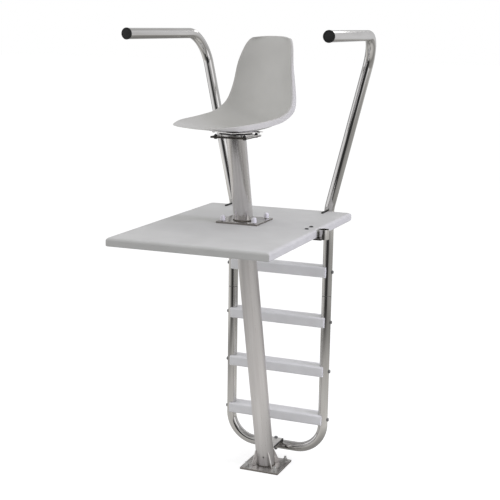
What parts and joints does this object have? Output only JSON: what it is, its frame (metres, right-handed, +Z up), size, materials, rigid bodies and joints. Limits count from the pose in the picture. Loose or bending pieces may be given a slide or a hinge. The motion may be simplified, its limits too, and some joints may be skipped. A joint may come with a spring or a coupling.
{
  "type": "lifeguard chair",
  "caption": "Lifeguard chair: a bucket seat that swivels on a leaning steel post over a standing deck, reached by a rear ladder with bent handrails",
  "frame": {"origin": "centre of the anchor plate underside, on the ground", "axes": "+Z up; -Y is the side the guard faces; +Y is the ladder side; +X is the left of a guard who faces -Y"},
  "size_m": [0.9774, 1.1625, 2.1701],
  "materials": {
    "polished_stainless": "polished stainless steel tube and plate",
    "brushed_stainless": "satin stainless steel",
    "zinc_steel": "zinc plated steel hardware",
    "bearing_steel": "oiled dark steel",
    "grey_plastic": "light grey moulded plastic",
    "seat_plastic": "warm grey moulded plastic, slight sheen",
    "black_rubber": "black moulded rubber"
  },
  "bodies": {
    "frame": {"anchor_plate": "brushed_stainless", "anchor_front_right": "zinc_steel", "gusset_front_right": "brushed_stainless", "anchor_front_left": "zinc_steel", "gusset_front_left": "brushed_stainless", "anchor_back_left": "zinc_steel", "gusset_back_left": "brushed_stainless", "anchor_back_right": "zinc_steel", "gusset_back_right": "brushed_stainless", "lower_post": "brushed_stainless", "upper_post": "polished_stainless", "deck": "grey_plastic", "lower_deck_flange": "brushed_stainless", "upper_deck_flange": "polished_stainless", "deck_bolt_1": "polished_stainless", "deck_bolt_2": "polished_stainless", "deck_bolt_3": "polished_stainless", "deck_bolt_4": "polished_stainless", "ladder_tube": "polished_stainless", "handrail_left": "polished_stainless", "end_cap_left": "black_rubber", "splice_sleeve_left": "zinc_steel", "rail_bracket_left": "polished_stainless", "rail_bracket_bolt_left": "zinc_steel", "handrail_right": "polished_stainless", "end_cap_right": "black_rubber", "splice_sleeve_right": "zinc_steel", "rail_bracket_right": "polished_stainless", "rail_bracket_bolt_right": "zinc_steel", "tread_1": "grey_plastic", "tread_bolt_1_left": "zinc_steel", "tread_bolt_1_right": "zinc_steel", "tread_2": "grey_plastic", "tread_bolt_2_left": "zinc_steel", "tread_bolt_2_right": "zinc_steel", "tread_3": "grey_plastic", "tread_bolt_3_left": "zinc_steel", "tread_bolt_3_right": "zinc_steel", "tread_4": "grey_plastic", "tread_bolt_4_left": "zinc_steel", "tread_bolt_4_right": "zinc_steel", "ladder_foot_plate": "brushed_stainless", "ladder_foot_bolt": "zinc_steel", "pole_sleeve": "polished_stainless", "sleeve_plate": "polished_stainless", "sleeve_bolt_1": "zinc_steel", "sleeve_bolt_2": "zinc_steel", "post_head_plate": "polished_stainless", "swivel_lower_plate": "zinc_steel", "swivel_bolt_1": "zinc_steel", "swivel_bolt_2": "zinc_steel", "swivel_bolt_3": "zinc_steel", "swivel_bolt_4": "zinc_steel", "swivel_ball_ring": "bearing_steel"},
    "seat": {"swivel_upper_plate": "zinc_steel", "seat_bolt_1": "zinc_steel", "seat_bolt_2": "zinc_steel", "seat_bolt_3": "zinc_steel", "seat_bolt_4": "zinc_steel", "seat_shell": "seat_plastic"}
  },
  "joints": [
    {"name": "seat_swivel", "type": "hinge", "parent": "frame", "child": "seat", "pos_m": [0, -0.44739, 1.719], "axis": [0, 0, 1], "continuous": true}
  ]
}
